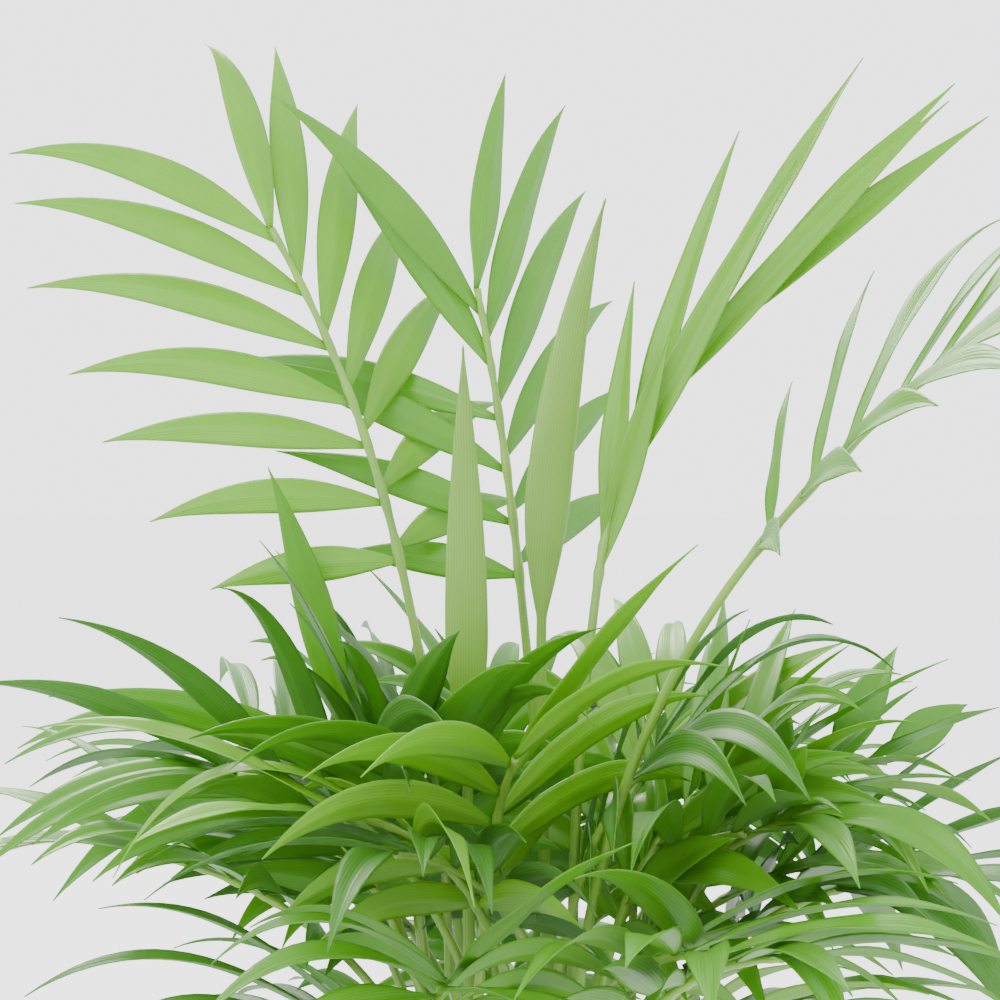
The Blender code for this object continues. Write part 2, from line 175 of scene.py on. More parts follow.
def turned(name, profile, segments, edge=0.0):
    """A turned closed mesh from a profile of (radius, height) pairs that ends on the axis both ways."""
    body = bmesh.new()
    points = [body.verts.new((radius, 0.0, height)) for radius, height in profile]
    edges = [body.edges.new(pair) for pair in zip(points, points[1:])]
    bmesh.ops.spin(body, geom=points + edges, axis=UP, cent=(0.0, 0.0, 0.0), angle=math.tau,
                   steps=segments, use_merge=True)
    bmesh.ops.remove_doubles(body, verts=body.verts[:], dist=MERGE_DISTANCE)
    bmesh.ops.recalc_face_normals(body, faces=body.faces[:])
    if edge:
        sharp = [item for item in body.edges if item.calc_face_angle(0.0) > math.radians(SHARP_ANGLE)]
        bmesh.ops.bevel(body, geom=sharp, offset=edge, offset_type="OFFSET", affect="EDGES",
                        segments=POT_EDGE_STEPS, profile=0.5, material=-1, clamp_overlap=True)
    mesh = bpy.data.meshes.new(name)
    body.to_mesh(mesh)
    body.free()
    mesh.shade_smooth()
    return mesh


band_foot = POT_HEIGHT - POT_BAND_HEIGHT
inner_top = POT_BODY_RADIUS - POT_WALL
pot_profile = [
    (0.0, POT_FLOOR),
    (pot_wall_radius(POT_FLOOR) - POT_WALL, POT_FLOOR),
    (inner_top, band_foot),
    (inner_top + POT_ROUNDING, POT_HEIGHT - POT_ROUNDING),
    (inner_top + 2 * POT_ROUNDING, POT_HEIGHT),
    (POT_BAND_RADIUS - POT_ROUNDING, POT_HEIGHT),
    (POT_BAND_RADIUS, POT_HEIGHT - POT_ROUNDING),
    (POT_BAND_RADIUS - POT_ROUNDING / 2, band_foot + POT_ROUNDING),
    (POT_BAND_RADIUS - 2 * POT_ROUNDING, band_foot),
    (POT_BODY_RADIUS, band_foot),
    (POT_FOOT_RADIUS, POT_ROUNDING),
    (POT_FOOT_RADIUS - POT_ROUNDING, 0.0),
    (0.0, 0.0),
]

# Fired clay: dry and matte, mottled by the kiln, with a pale bloom of salts. Its patterns are counted along
# a metre: kiln patches 60 mm wide, salt stains 30 mm wide, grit of 1.1 mm. A Wave Texture's sine runs
# through 20 radians for one unit of its scaled coordinate, so the turning lines are 2.1 mm apart.
KILN_PATCHES = 16.0
SALT_STAINS = 34.0
GRIT_GRAINS = 900.0
WAVE_RADIANS = 20.0
TURNING_LINES = 150.0

fired_clay, clay_output = new_material("fired_clay")
clay_tree = fired_clay.node_tree
clay_place = add_node(clay_tree, "ShaderNodeTexCoord").outputs["Object"]
clay_kiln = add_node(clay_tree, "ShaderNodeTexNoise", {"Vector": clay_place, "Scale": KILN_PATCHES,
                                                       "Detail": 5.0})
clay_grit = add_node(clay_tree, "ShaderNodeTexNoise", {"Vector": clay_place, "Scale": GRIT_GRAINS,
                                                       "Detail": 2.0})
clay_salt = add_node(clay_tree, "ShaderNodeTexNoise", {"Vector": clay_place, "Scale": SALT_STAINS,
                                                       "Detail": 8.0, "Roughness": 0.7})
clay_lines = add_node(clay_tree, "ShaderNodeTexWave", {"Vector": clay_place, "Scale": TURNING_LINES,
                                                       "Distortion": 1.2, "Detail": 1.0},
                      wave_type="BANDS", bands_direction="Z")
clay_body = add_node(clay_tree, "ShaderNodeMixRGB", {"Fac": clay_kiln.outputs["Fac"],
                                                     "Color1": linear("#a9572f"),
                                                     "Color2": linear("#c67a4e")})
clay_where = add_node(clay_tree, "ShaderNodeMapRange", {"Value": clay_salt.outputs["Fac"], "From Min": 0.52,
                                                        "From Max": 0.72, "To Max": 0.45})
clay_bloom = add_node(clay_tree, "ShaderNodeMixRGB", {"Fac": clay_where.outputs["Result"],
                                                      "Color1": clay_body.outputs["Color"],
                                                      "Color2": linear("#d9b79c")})
clay_relief = add_node(clay_tree, "ShaderNodeMath", {0: clay_grit.outputs["Fac"],
                                                     1: clay_lines.outputs["Fac"]}, operation="ADD")
clay_bump = add_node(clay_tree, "ShaderNodeBump", {"Strength": 0.25, "Distance": 0.0004,
                                                   "Height": clay_relief.outputs["Value"]})
clay_shader = add_node(clay_tree, "ShaderNodeBsdfPrincipled",
                       {"Base Color": clay_bloom.outputs["Color"], "Roughness": 0.86,
                        "Specular IOR Level": 0.25, "Normal": clay_bump.outputs["Normal"]})
clay_tree.links.new(clay_shader.outputs[0], clay_output.inputs["Surface"])
pot_mesh = turned("pot_clay", pot_profile, POT_SEGMENTS, POT_EDGE)
add_piece("pot_clay", pot_mesh, fired_clay, ["pot"])

# The soil. It is moist peaty potting mix, filled to 14 mm under the rim, with an uneven crumbly top and
# loose crumbs and a few white grains lying on it. Only its top layer is made, because the pot hides the rest.
GAP = 0.0003
SOIL_RINGS = 34
SOIL_SEGMENTS = 96
SOIL_DEPTH = 0.012
SOIL_TOP_BAND = 0.001
SOIL_RELIEF = 0.0016
SOIL_LUMPS = 140.0
CRUMBS = 520
CRUMB_SIZES = (0.0007, 0.0021)
GRAINS = 70
GRAIN_SIZES = (0.0006, 0.0014)
SCATTER_REACH = 0.97

# Potting soil: dull and damp, near black to brown in specks of 3 mm.
SOIL_SPECKS = 320.0

potting_soil, soil_output = new_material("potting_soil")
soil_tree = potting_soil.node_tree
soil_place = add_node(soil_tree, "ShaderNodeTexCoord").outputs["Object"]
soil_mix = add_node(soil_tree, "ShaderNodeTexNoise", {"Vector": soil_place, "Scale": SOIL_SPECKS,
                                                      "Detail": 6.0})
soil_color = add_node(soil_tree, "ShaderNodeMixRGB", {"Fac": soil_mix.outputs["Fac"],
                                                      "Color1": linear("#1f150e"),
                                                      "Color2": linear("#5a4330")})
soil_bump = add_node(soil_tree, "ShaderNodeBump", {"Strength": 0.7, "Distance": 0.0012,
                                                   "Height": soil_mix.outputs["Fac"]})
soil_shader = add_node(soil_tree, "ShaderNodeBsdfPrincipled",
                       {"Base Color": soil_color.outputs["Color"], "Roughness": 0.93,
                        "Specular IOR Level": 0.2, "Normal": soil_bump.outputs["Normal"]})
soil_tree.links.new(soil_shader.outputs[0], soil_output.inputs["Surface"])

# Expanded rock: light grains of heated volcanic glass, mixed in to keep the soil open.
expanded_rock, rock_output = new_material("expanded_rock_grains")
rock_shader = add_node(expanded_rock.node_tree, "ShaderNodeBsdfPrincipled",
                       {"Base Color": linear("#d9d4c8"), "Roughness": 0.9})
expanded_rock.node_tree.links.new(rock_shader.outputs[0], rock_output.inputs["Surface"])

soil_radius = inner_top - 2 * GAP
soil_profile = [(soil_radius * step / SOIL_RINGS, SOIL_TOP) for step in range(SOIL_RINGS + 1)]
soil_profile += [(soil_radius, SOIL_TOP - SOIL_DEPTH), (0.0, SOIL_TOP - SOIL_DEPTH)]
soil_mesh = turned("soil_top", soil_profile, SOIL_SEGMENTS)
for vertex in soil_mesh.vertices:
    if vertex.co.z > SOIL_TOP - SOIL_TOP_BAND:
        vertex.co.z += SOIL_RELIEF * noise.fractal(vertex.co * SOIL_LUMPS, 0.9, 2.0, 3)
add_piece("soil_top", soil_mesh, potting_soil, ["soil"])


def scatter(name, count, sizes, material):
    """Loose crumbs on the soil, each a squashed and turned many-sided grain."""
    dice = random.Random(name)
    crumbs = bmesh.new()
    for number in range(count):
        away = soil_radius * SCATTER_REACH * math.sqrt(dice.random())
        heading = dice.uniform(0.0, math.tau)
        size = dice.uniform(*sizes)
        turn = Quaternion(Vector((dice.uniform(-1, 1), dice.uniform(-1, 1), 1.0)).normalized(),
                          dice.uniform(0.0, math.tau))
        place = Vector((away * math.cos(heading), away * math.sin(heading), SOIL_TOP + size * 0.5))
        squash = Matrix.Diagonal((size, size * dice.uniform(0.5, 0.9), size * dice.uniform(0.4, 0.8), 1.0))
        bmesh.ops.create_icosphere(crumbs, subdivisions=1, radius=1.0,
                                   matrix=Matrix.Translation(place) @ turn.to_matrix().to_4x4() @ squash)
    mesh = bpy.data.meshes.new(name)
    crumbs.to_mesh(mesh)
    crumbs.free()
    add_piece(name, mesh, material, [])


scatter("soil_crumbs", CRUMBS, CRUMB_SIZES, potting_soil)
scatter("soil_grains", GRAINS, GRAIN_SIZES, expanded_rock)

# The canes. Each is a short green stem that leans out a little, ringed with the pale scars of the sheaths
# that it has shed, and it carries its fronds one above another.
CANE_COUNT = 11
CANE_SPACING = 0.0135
CANE_FIRST_HEADING = -10.0
GOLDEN_ANGLE = 137.5
CANE_HEIGHT = 0.052
CANE_LEAN = 4.0
CANE_SIDES = 8
CANE_SHAPE = ((0.0, 0.0056), (0.12, 0.0045), (0.62, 0.0041), (1.0, 0.0032))
SCAR_SPACING = 0.0085
SCAR_HEIGHT = 0.0011
SCAR_SWELL = 0.00035
SCAR_EDGE = 0.35
CANE_FIT = 0.97
CANE_SEGMENTS = 24
CANE_RINGS = 96


def compass(heading):
    """The level direction of a heading."""
    angle = math.radians(heading)
    return Vector((math.cos(angle), math.sin(angle), 0.0))


def cane_axis(number, share):
    """A point on a cane's middle line, from its foot on the soil to its tip."""
    away = compass(CANE_FIRST_HEADING + GOLDEN_ANGLE * number)
    foot = away * (CANE_SPACING * math.sqrt(number + 0.3)) + UP * (SOIL_TOP + GAP)
    lean = math.radians(CANE_LEAN)
    return foot + (away * math.sin(lean) + UP * math.cos(lean)) * (CANE_HEIGHT * share)


def cane_radius(share):
    """A cane's radius a share of the way from its foot to its tip."""
    for (low, low_radius), (high, high_radius) in zip(CANE_SHAPE, CANE_SHAPE[1:]):
        if share <= high:
            return mix(low_radius, high_radius, (share - low) / (high - low))
    return CANE_SHAPE[-1][1]


@dataclass
class Station:
    """A point on a rib or a leaflet, with the directions along it, across it and off its upper face."""

    point: Vector
    along: Vector
    across: Vector
    over: Vector
    size: float


def ring(station, across, over, sides):
    """Points round a station on an ellipse of two half widths, the first of them at its top."""
    points = []
    for side in range(sides):
        angle = math.tau * side / sides
        points.append(station.point + station.over * (over * math.cos(angle))
                      - station.across * (across * math.sin(angle)))
    return points


def sweep(rings, tip=None):
    """A closed body grown from ring to ring, which ends in a flat cap or in a point."""
    body = bmesh.new()
    foot = end = body.faces.new([body.verts.new(point) for point in rings[0]])
    for points in rings[1:] + ([[tip] * len(rings[0])] if tip else []):
        grown = bmesh.ops.extrude_face_region(body, geom=[end])["geom"]
        if end is not foot:
            bmesh.ops.delete(body, geom=[end], context="FACES_ONLY")
        end = next(item for item in grown if isinstance(item, bmesh.types.BMFace))
        for vertex, point in zip(end.verts, points):
            vertex.co = point
    if tip:
        bmesh.ops.pointmerge(body, verts=end.verts[:], merge_co=tip)
    bmesh.ops.recalc_face_normals(body, faces=body.faces[:])
    bmesh.ops.triangulate(body, faces=body.faces[:], quad_method="FIXED")
    return body


def mesh_from(name, points, faces):
    """A mesh from points and four-sided faces, smooth."""
    mesh = bpy.data.meshes.new(name)
    mesh.from_pydata(points, [], faces)
    mesh.update()
    mesh.shade_smooth()
    return mesh


def tube_faces(rings, sides, first=0):
    """The faces of a tube of rings, and its two end caps."""
    faces = []
    for row in range(rings - 1):
        for side in range(sides):
            low = first + row * sides
            after = (side + 1) % sides
            faces.append((low + side, low + after, low + sides + after, low + sides + side))
    faces.append(tuple(first + side for side in reversed(range(sides))))
    faces.append(tuple(first + (rings - 1) * sides + side for side in range(sides)))
    return faces


def scar(height):
    """How much of a ringed scar there is at a height up a cane, from 0 to 1."""
    away = abs((height + SCAR_SPACING / 2) % SCAR_SPACING - SCAR_SPACING / 2)
    return max(0.0, 1.0 - away / SCAR_HEIGHT)


# Green cane: a waxy young stem, a little glossy, flecked darker and lighter about every 4 mm.
CANE_FLECKS = 260.0

green_cane, cane_output = new_material("green_cane")
cane_tree = green_cane.node_tree
cane_place = add_node(cane_tree, "ShaderNodeTexCoord").outputs["Object"]
cane_flecks = add_node(cane_tree, "ShaderNodeTexNoise", {"Vector": cane_place, "Scale": CANE_FLECKS,
                                                         "Detail": 4.0})
cane_color = add_node(cane_tree, "ShaderNodeMixRGB", {"Fac": cane_flecks.outputs["Fac"],
                                                      "Color1": linear("#4d6f22"),
                                                      "Color2": linear("#86a348")})
cane_shader = add_node(cane_tree, "ShaderNodeBsdfPrincipled", {"Base Color": cane_color.outputs["Color"],
                                                               "Roughness": 0.45})
cane_tree.links.new(cane_shader.outputs[0], cane_output.inputs["Surface"])

# Dry scar: the corky line that a shed sheath leaves, pale and dull.
dry_scar, scar_output = new_material("dry_sheath_scar")
scar_shader = add_node(dry_scar.node_tree, "ShaderNodeBsdfPrincipled", {"Base Color": linear("#b9a878"),
                                                                        "Roughness": 0.8})
dry_scar.node_tree.links.new(scar_shader.outputs[0], scar_output.inputs["Surface"])

cane_blocks = []
level = compass(0.0)
for number in range(CANE_COUNT):
    coarse = [ring(Station(cane_axis(number, share), UP, level, level.cross(UP), radius), radius, radius,
                   CANE_SIDES) for share, radius in CANE_SHAPE]
    body = sweep(coarse)
    cane_blocks.append(BVHTree.FromBMesh(body))
    body.free()
    points = []
    for row in range(CANE_RINGS + 1):
        share = row / CANE_RINGS
        radius = cane_radius(share) * CANE_FIT + SCAR_SWELL * scar(share * CANE_HEIGHT)
        station = Station(cane_axis(number, share), UP, level, level.cross(UP), radius)
        points += ring(station, radius, radius, CANE_SEGMENTS)
    name = f"cane_{number + 1:02d}"
    cane_mesh = mesh_from(f"{name}_stem", points, tube_faces(CANE_RINGS + 1, CANE_SEGMENTS))
    add_piece(f"{name}_stem", cane_mesh, green_cane, [name])
    cane_mesh.materials.append(dry_scar)
    for row in range(CANE_RINGS):
        if scar((row + 0.5) / CANE_RINGS * CANE_HEIGHT) > SCAR_EDGE:
            for side in range(CANE_SEGMENTS):
                cane_mesh.polygons[row * CANE_SEGMENTS + side].material_index = 1

# The fronds. Each grows beside its cane as one rib, a stalk as far as its collar and a rachis past it, and
# its leaflets stand in a row down each side. Where everything stands is settled here, by the rule that
# the solid model follows, and the sections after this one give it its surface.
RIB_SIDES = 3
FOOT_RADIUS = 0.0028
COLLAR_RADIUS = 0.0021
RIB_TIP_RADIUS = 0.0015
RIB_STEPS = 60
STALK_SECTIONS = 3
PAIR_STAGGER = 0.3
PAIR_GAP = (1.0 + PAIR_STAGGER) / 2
LAST_PLACE = 0.985
LEAFLET_STEPS = 20
LEAFLET_THICKNESS = 0.0013
LEAFLET_ROOT_THICKNESS = 0.65
LEAFLET_SLIMMEST = 0.0105
LEAFLET_ROOT = 0.11
LEAFLET_MIDDLE = 0.42
LOUVRE = 16.0
ROOM = ((-1, -1), (1, -1), (1, 1), (-1, 1))
CLEARANCE = 0.0005
NUDGES = (
    (0, 0, 1.0), (7, 5, 1.2), (-7, -6, 0.8), (13, 9, 1.5), (-13, 12, 0.6),
    (4, -14, 1.8), (19, 16, 0.9), (-19, 3, 2.2), (0, 26, 0.4), (9, -24, 1.3),
)
CUTS = (1.0, 0.82, 0.64)
SWINGS = (0, 9, -9, 18, -18, 27, -27, 36, -36, 45, -45)
SEATS = (0.0014, 0.0010, 0.0005, 0.0)
FINE = (0, 4, 9, 15, 20)


@dataclass
class Frond:
    """One frond: which cane it stands on, its pose, and its leaflets."""

    name: str
    cane: int
    heading: float
    tilts: tuple
    stalk: float
    rachis: float
    height: float = 0.9
    foot_turn: float = 0.0
    turn: float = 0.0
    pairs: int = 5
    leaf: float = 0.105
    width: float = 0.0145
    spread: tuple = (66.0, 30.0)
    raised: float = 20.0
    droops: tuple = (0.9, 0.9)
    sections: tuple = (0, 6, 13, 20)


@dataclass
class Habit:
    """How one leaflet differs from the rule."""

    swing: float
    lift: float
    sag: float
    twist: float
    length: float


# The fronds that are placed one by one: tall, opening and young ones, and the two that are still shut.
TALL_FRONDS = [
    Frond("frond_tall_left", 4, 184, (2, 13, 30), 0.222, 0.148, foot_turn=180, turn=112, pairs=7,
          leaf=0.136, width=0.0165, spread=(78, 24), raised=26, droops=(0.45, 0.75), sections=FINE),
    Frond("frond_tall_back", 3, 184, (4, 6, 11), 0.215, 0.122, turn=112, pairs=6, leaf=0.144,
          width=0.0160, spread=(68, 30), raised=28, droops=(0.35, 0.55), sections=FINE),
    Frond("frond_opening_right", 5, 4, (-3, 8, 48), 0.215, 0.117, foot_turn=180, turn=60, pairs=4,
          leaf=0.166, width=0.0130, spread=(9, 6), raised=8, droops=(0.26, 0.20), sections=FINE),
    Frond("frond_front_right", 10, 322, (-2, 43, 57), 0.250, 0.115, turn=35, pairs=6, leaf=0.115,
          width=0.0150, spread=(60, 26), raised=18, droops=(0.6, 0.8), sections=FINE),
    Frond("frond_young_right", 8, 14, (5, 38, 95), 0.105, 0.085, turn=10, pairs=4, leaf=0.066,
          width=0.0185, spread=(62, 40), raised=58, droops=(0.25, 0.3), sections=FINE),
    Frond("frond_side_left", 9, 212, (2, 10, 40), 0.072, 0.078, turn=80, pairs=2, leaf=0.142,
          width=0.0165, spread=(64, 24), raised=8, droops=(0.6, 0.5), sections=FINE),
]
SPEARS = [
    Frond("spear_tall", 0, 4, (-4.5, 1, 17), 0.190, 0.178, turn=90, width=0.0190),
    Frond("spear_front", 7, 265, (4, 4, 8), 0.140, 0.160, width=0.0170),
]
SPEAR_SIDES = 4
SPEAR_DEPTH = 0.3
SPEAR_MIDDLE = 0.3
SPEAR_ROOT = 0.2
SPEAR_NARROWEST = 0.06
SPEAR_SECTIONS = (0.0, 0.12, 0.3, 0.5, 0.7, 0.86)
LONGEST_PLACE = 0.68
COLLAR_SHORTENING = 0.40
TIP_SHORTENING = 0.18

# The crown's ages, youngest first: the rib's tilts, the lengths of its stalk, its rachis and its longest
# leaflets, its height on the cane, and how far it is turned from the cane's own heading.
AGES = (
    ((6, 20, 50), 0.082, 0.070, 0.108, 0.95, 75),
    ((9, 33, 74), 0.094, 0.082, 0.118, 0.75, -70),
    ((12, 46, 90), 0.088, 0.086, 0.118, 0.55, 10),
    ((15, 62, 106), 0.064, 0.076, 0.104, 0.35, 85),
)
CROWN_SIZE = 39


def crown_fronds():
    """The rule-made fronds. Their pose and size vary a little from one to the next."""
    fronds = []
    for number in range(CROWN_SIZE):
        cane = number % CANE_COUNT
        tilts, stalk, rachis, leaf, height, turn_out = AGES[number // CANE_COUNT]
        dice = random.Random(f"crown {number}")
        own = CANE_FIRST_HEADING + GOLDEN_ANGLE * cane
        size = dice.uniform(0.9, 1.12)
        fronds.append(Frond(
            name=f"frond_{number + 1:02d}",
            cane=cane,
            heading=own + turn_out + dice.uniform(-24, 24),
            tilts=tuple(tilt * dice.uniform(0.85, 1.15) for tilt in tilts),
            stalk=stalk * size,
            rachis=rachis * size,
            height=height,
            turn=dice.uniform(-28, 28),
            pairs=dice.choice((5, 5, 6)),
            leaf=leaf * size,
            width=dice.uniform(0.0135, 0.0165),
            spread=(dice.uniform(62, 74), dice.uniform(30, 38)),
            raised=dice.uniform(8, 30),
            droops=(dice.uniform(0.5, 1.1), dice.uniform(0.6, 1.2)),
        ))
    return fronds


def trace_rib(frond, foot, swing):
    """The rib's stations from foot to tip. Each one's size is the rib's radius there."""
    ahead = compass(frond.heading + swing)
    length = frond.stalk + frond.rachis
    point = foot.copy()
    stations = []
    for step in range(RIB_STEPS + 1):
        distance = length * step / RIB_STEPS
        if distance < frond.stalk:
            share = distance / frond.stalk
            tilt = mix(frond.tilts[0], frond.tilts[1], share)
            radius = mix(FOOT_RADIUS, COLLAR_RADIUS, share)
        else:
            share = (distance - frond.stalk) / frond.rachis
            tilt = mix(frond.tilts[1], frond.tilts[2], share)
            radius = mix(COLLAR_RADIUS, RIB_TIP_RADIUS, share)
        tilt = math.radians(tilt)
        along = ahead * math.sin(tilt) + UP * math.cos(tilt)
        across = Quaternion(along, math.radians(frond.turn)) @ ahead.cross(UP)
        stations.append(Station(point.copy(), along, across, across.cross(along), radius))
        point += along * (length / RIB_STEPS)
    return stations


def rib_steps(frond):
    """Where the solid's rings go: a few up the stalk, then in every gap between leaflet pairs."""
    steps = [round(collar_step(frond) * part / STALK_SECTIONS) for part in range(STALK_SECTIONS)]
    gaps = [rachis_step(frond, pair_place(frond, pair + PAIR_GAP)) for pair in range(-1, frond.pairs - 1)]
    return steps + gaps + [RIB_STEPS]


def pair_place(frond, pair):
    """Where a pair stands along the rachis."""
    return LAST_PLACE * pair / (frond.pairs - 1 + PAIR_STAGGER)


def collar_step(frond):
    """The station where the stalk ends and the rachis begins."""
    return round(RIB_STEPS * frond.stalk / (frond.stalk + frond.rachis))


def rachis_step(frond, place):
    """The station at a place along the rachis, from 0 at the collar to 1 at the tip."""
    return round(mix(collar_step(frond), RIB_STEPS, place))


def rib_body(frond, rib, spare=0.0):
    """The model's three-sided rib, or the room that it needs."""
    return sweep([ring(rib[step], rib[step].size + spare, rib[step].size + spare, RIB_SIDES)
                  for step in rib_steps(frond)])


def spear_width(share):
    """A folded blade's share of its full width: it swells off the stalk and ends in a long point."""
    if share < SPEAR_MIDDLE:
        return mix(SPEAR_ROOT, 1.0, math.sin(math.pi / 2 * share / SPEAR_MIDDLE))
    return max(SPEAR_NARROWEST, math.cos(math.pi / 2 * (share - SPEAR_MIDDLE) / (1.0 - SPEAR_MIDDLE)))


def spear_body(frond, rib, spare=0.0):
    """A stalk that widens past its collar into a folded blade, deepest along its middle."""
    steps = [round(collar_step(frond) * part / STALK_SECTIONS) for part in range(STALK_SECTIONS)]
    rings = [ring(rib[step], rib[step].size + spare, rib[step].size + spare, SPEAR_SIDES) for step in steps]
    for share in SPEAR_SECTIONS:
        station = rib[rachis_step(frond, share)]
        across = max(station.size, frond.width / 2 * spear_width(share)) + spare
        over = max(station.size, across * SPEAR_DEPTH) + spare
        rings.append(ring(station, across, over, SPEAR_SIDES))
    return sweep(rings, tip=rib[-1].point)


def leaflet_width(share):
    """A leaflet's share of its full width: a narrow root, a broad middle and a long point."""
    if share < LEAFLET_MIDDLE:
        return mix(LEAFLET_ROOT, 1.0, math.sin(math.pi / 2 * share / LEAFLET_MIDDLE))
    return math.cos(math.pi / 2 * (share - LEAFLET_MIDDLE) / (1.0 - LEAFLET_MIDDLE)) ** 1.15


def leaflet_length(place):
    """How long a leaflet is for its place on the rachis, from collar to tip, next to the longest."""
    if place < LONGEST_PLACE:
        return 1.0 - COLLAR_SHORTENING * ((LONGEST_PLACE - place) / LONGEST_PLACE) ** 2
    return 1.0 - TIP_SHORTENING * ((place - LONGEST_PLACE) / (1.0 - LONGEST_PLACE)) ** 2


def trace_leaflet(frond, root, place, hand, habit, nudge, cut):
    """A leaflet's stations from root to tip. Each one's size is half the blade's width there."""
    swing, lift, sag = nudge
    spread = math.radians(mix(frond.spread[1], frond.spread[0], (1.0 - place) ** 1.2) + habit.swing + swing)
    raised = math.radians(frond.raised + habit.lift + lift)
    droop = mix(frond.droops[0], frond.droops[1], place) * habit.sag * sag
    outward = root.across * (hand * math.cos(raised)) + root.over * math.sin(raised)
    start = root.along * math.cos(spread) + outward * math.sin(spread)
    across = (root.along - start * start.dot(root.along)).normalized() * hand
    across = Quaternion(start, math.radians(LOUVRE) * hand) @ across
    length = frond.leaf * leaflet_length(place) * habit.length * cut
    width = frond.width * mix(0.8, 1.0, leaflet_length(place)) * mix(0.7, 1.0, cut)
    point = root.point.copy()
    stations = []
    for step in range(LEAFLET_STEPS + 1):
        share = step / LEAFLET_STEPS
        along = (start - UP * (droop * share ** 1.5)).normalized()
        bend = start.rotation_difference(along)
        twist = Quaternion(along, math.radians(habit.twist * share))
        wide = twist @ (bend @ across)
        half = width / 2 * leaflet_width(share)
        stations.append(Station(point.copy(), along, wide, wide.cross(along), half))
        point += along * (length / LEAFLET_STEPS)
    return stations


def leaflet_room(frond, stations):
    """The room that the model's leaflet needs: a body with four edges, a little larger than the blade."""
    thickness = max(LEAFLET_THICKNESS, LEAFLET_SLIMMEST * frond.leaf)
    rings = []
    for step in frond.sections[:-1]:
        point, facing = stations[step].point, stations[step or frond.sections[1]]
        wide = facing.across * (stations[step].size + CLEARANCE)
        half = facing.over * (thickness * (0.5 if step else LEAFLET_ROOT_THICKNESS / 2) + CLEARANCE)
        rings.append([point + wide * side + half * level for side, level in ROOM])
    return sweep(rings, tip=stations[-1].point + stations[-1].along * CLEARANCE)


def leaflet_places(frond):
    """Where a frond's leaflets stand: place along the rachis, hand and habit."""
    dice = random.Random(frond.name)
    places = []
    for pair in range(frond.pairs):
        for hand, offset in ((1, 0.0), (-1, PAIR_STAGGER)):
            habit = Habit(dice.uniform(-3, 3), dice.uniform(-4, 4), dice.uniform(0.75, 1.25),
                          dice.uniform(-16, 16), dice.uniform(0.93, 1.05))
            places.append((pair_place(frond, pair + offset), hand, habit))
    return places


def touches(body, blocks):
    """Whether a body meets any block. The body is freed."""
    tree = BVHTree.FromBMesh(body)
    body.free()
    return any(tree.overlap(block) for block in blocks)


def grow_ribs(fronds, canes):
    """Stand each rib by its cane, swung aside where it would touch another."""
    ribs = []
    blocks = list(canes)
    for frond in fronds:
        shape = spear_body if frond in SPEARS else rib_body
        for swing, closer in ((swing, closer) for swing in SWINGS for closer in SEATS):
            rib = trace_rib(frond, rib_foot(frond, swing, closer), swing)
            if not touches(shape(frond, rib, GAP), blocks):
                break
        else:
            raise RuntimeError(f"{frond.name} has no clear place on its cane")
        body = shape(frond, rib)
        blocks.append(BVHTree.FromBMesh(body))
        body.free()
        ribs.append(rib)
    return ribs, blocks


def rib_foot(frond, swing, closer):
    """A spear stands on its cane's tip, and any other frond beside its cane."""
    if frond in SPEARS:
        return cane_axis(frond.cane, 1.0) + UP * (2 * GAP)
    beside = cane_radius(frond.height) + FOOT_RADIUS + 2 * GAP - closer
    side = compass(frond.heading + frond.foot_turn + swing)
    return cane_axis(frond.cane, frond.height) + side * beside


def grow_leaflets(frond, rib, blocks):
    """The frond's leaflets that can be laid clear of the blocks, as lists of stations."""
    leaflets = []
    for place, hand, habit in leaflet_places(frond):
        root = rib[rachis_step(frond, place)]
        for cut, nudge in ((cut, nudge) for cut in CUTS for nudge in NUDGES):
            stations = trace_leaflet(frond, root, place, hand, habit, nudge, cut)
            if not touches(leaflet_room(frond, stations), blocks):
                leaflets.append(stations)
                break
    return leaflets


fronds = SPEARS + TALL_FRONDS + crown_fronds()
ribs, rib_blocks = grow_ribs(fronds, cane_blocks)
leaflets_of = {}
grown = []
for number, (frond, rib) in enumerate(zip(fronds, ribs)):
    if frond in SPEARS:
        continue
    own = len(cane_blocks) + number
    leaflets_of[frond.name] = grow_leaflets(frond, rib, rib_blocks[:own] + rib_blocks[own + 1:] + grown)
    block = bmesh.new()
    block.from_mesh(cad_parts[frond.name].data)
    grown.append(BVHTree.FromBMesh(block))
    block.free()

# The ribs. They are smooth green stalks, 5 mm thick at the foot, which swells into a short sheath, and under
# 3 mm at the tip, with a groove along the upper side and a knuckle where each leaflet leaves.
RIB_SEGMENTS = 12
RIB_FIT = 0.86
SHEATH_SWELL = 0.35
SHEATH_LENGTH = 0.010
GROOVE = 0.16
GROOVE_WIDTH = 0.55
KNUCKLE = 0.28
KNUCKLE_LENGTH = 0.0022

# Rib skin: living green rind, smooth and a little glossy, in two tones that change over 25 mm.
RIB_TONES = 40.0

rib_skin, rib_output = new_material("rib_skin")
rib_tree = rib_skin.node_tree
rib_place = add_node(rib_tree, "ShaderNodeTexCoord").outputs["Object"]
rib_tone = add_node(rib_tree, "ShaderNodeTexNoise", {"Vector": rib_place, "Scale": RIB_TONES, "Detail": 3.0})
rib_color = add_node(rib_tree, "ShaderNodeMixRGB", {"Fac": rib_tone.outputs["Fac"],
                                                    "Color1": linear("#48751a"),
                                                    "Color2": linear("#7aa436")})
rib_shader = add_node(rib_tree, "ShaderNodeBsdfPrincipled", {"Base Color": rib_color.outputs["Color"],
                                                             "Roughness": 0.36})
rib_tree.links.new(rib_shader.outputs[0], rib_output.inputs["Surface"])


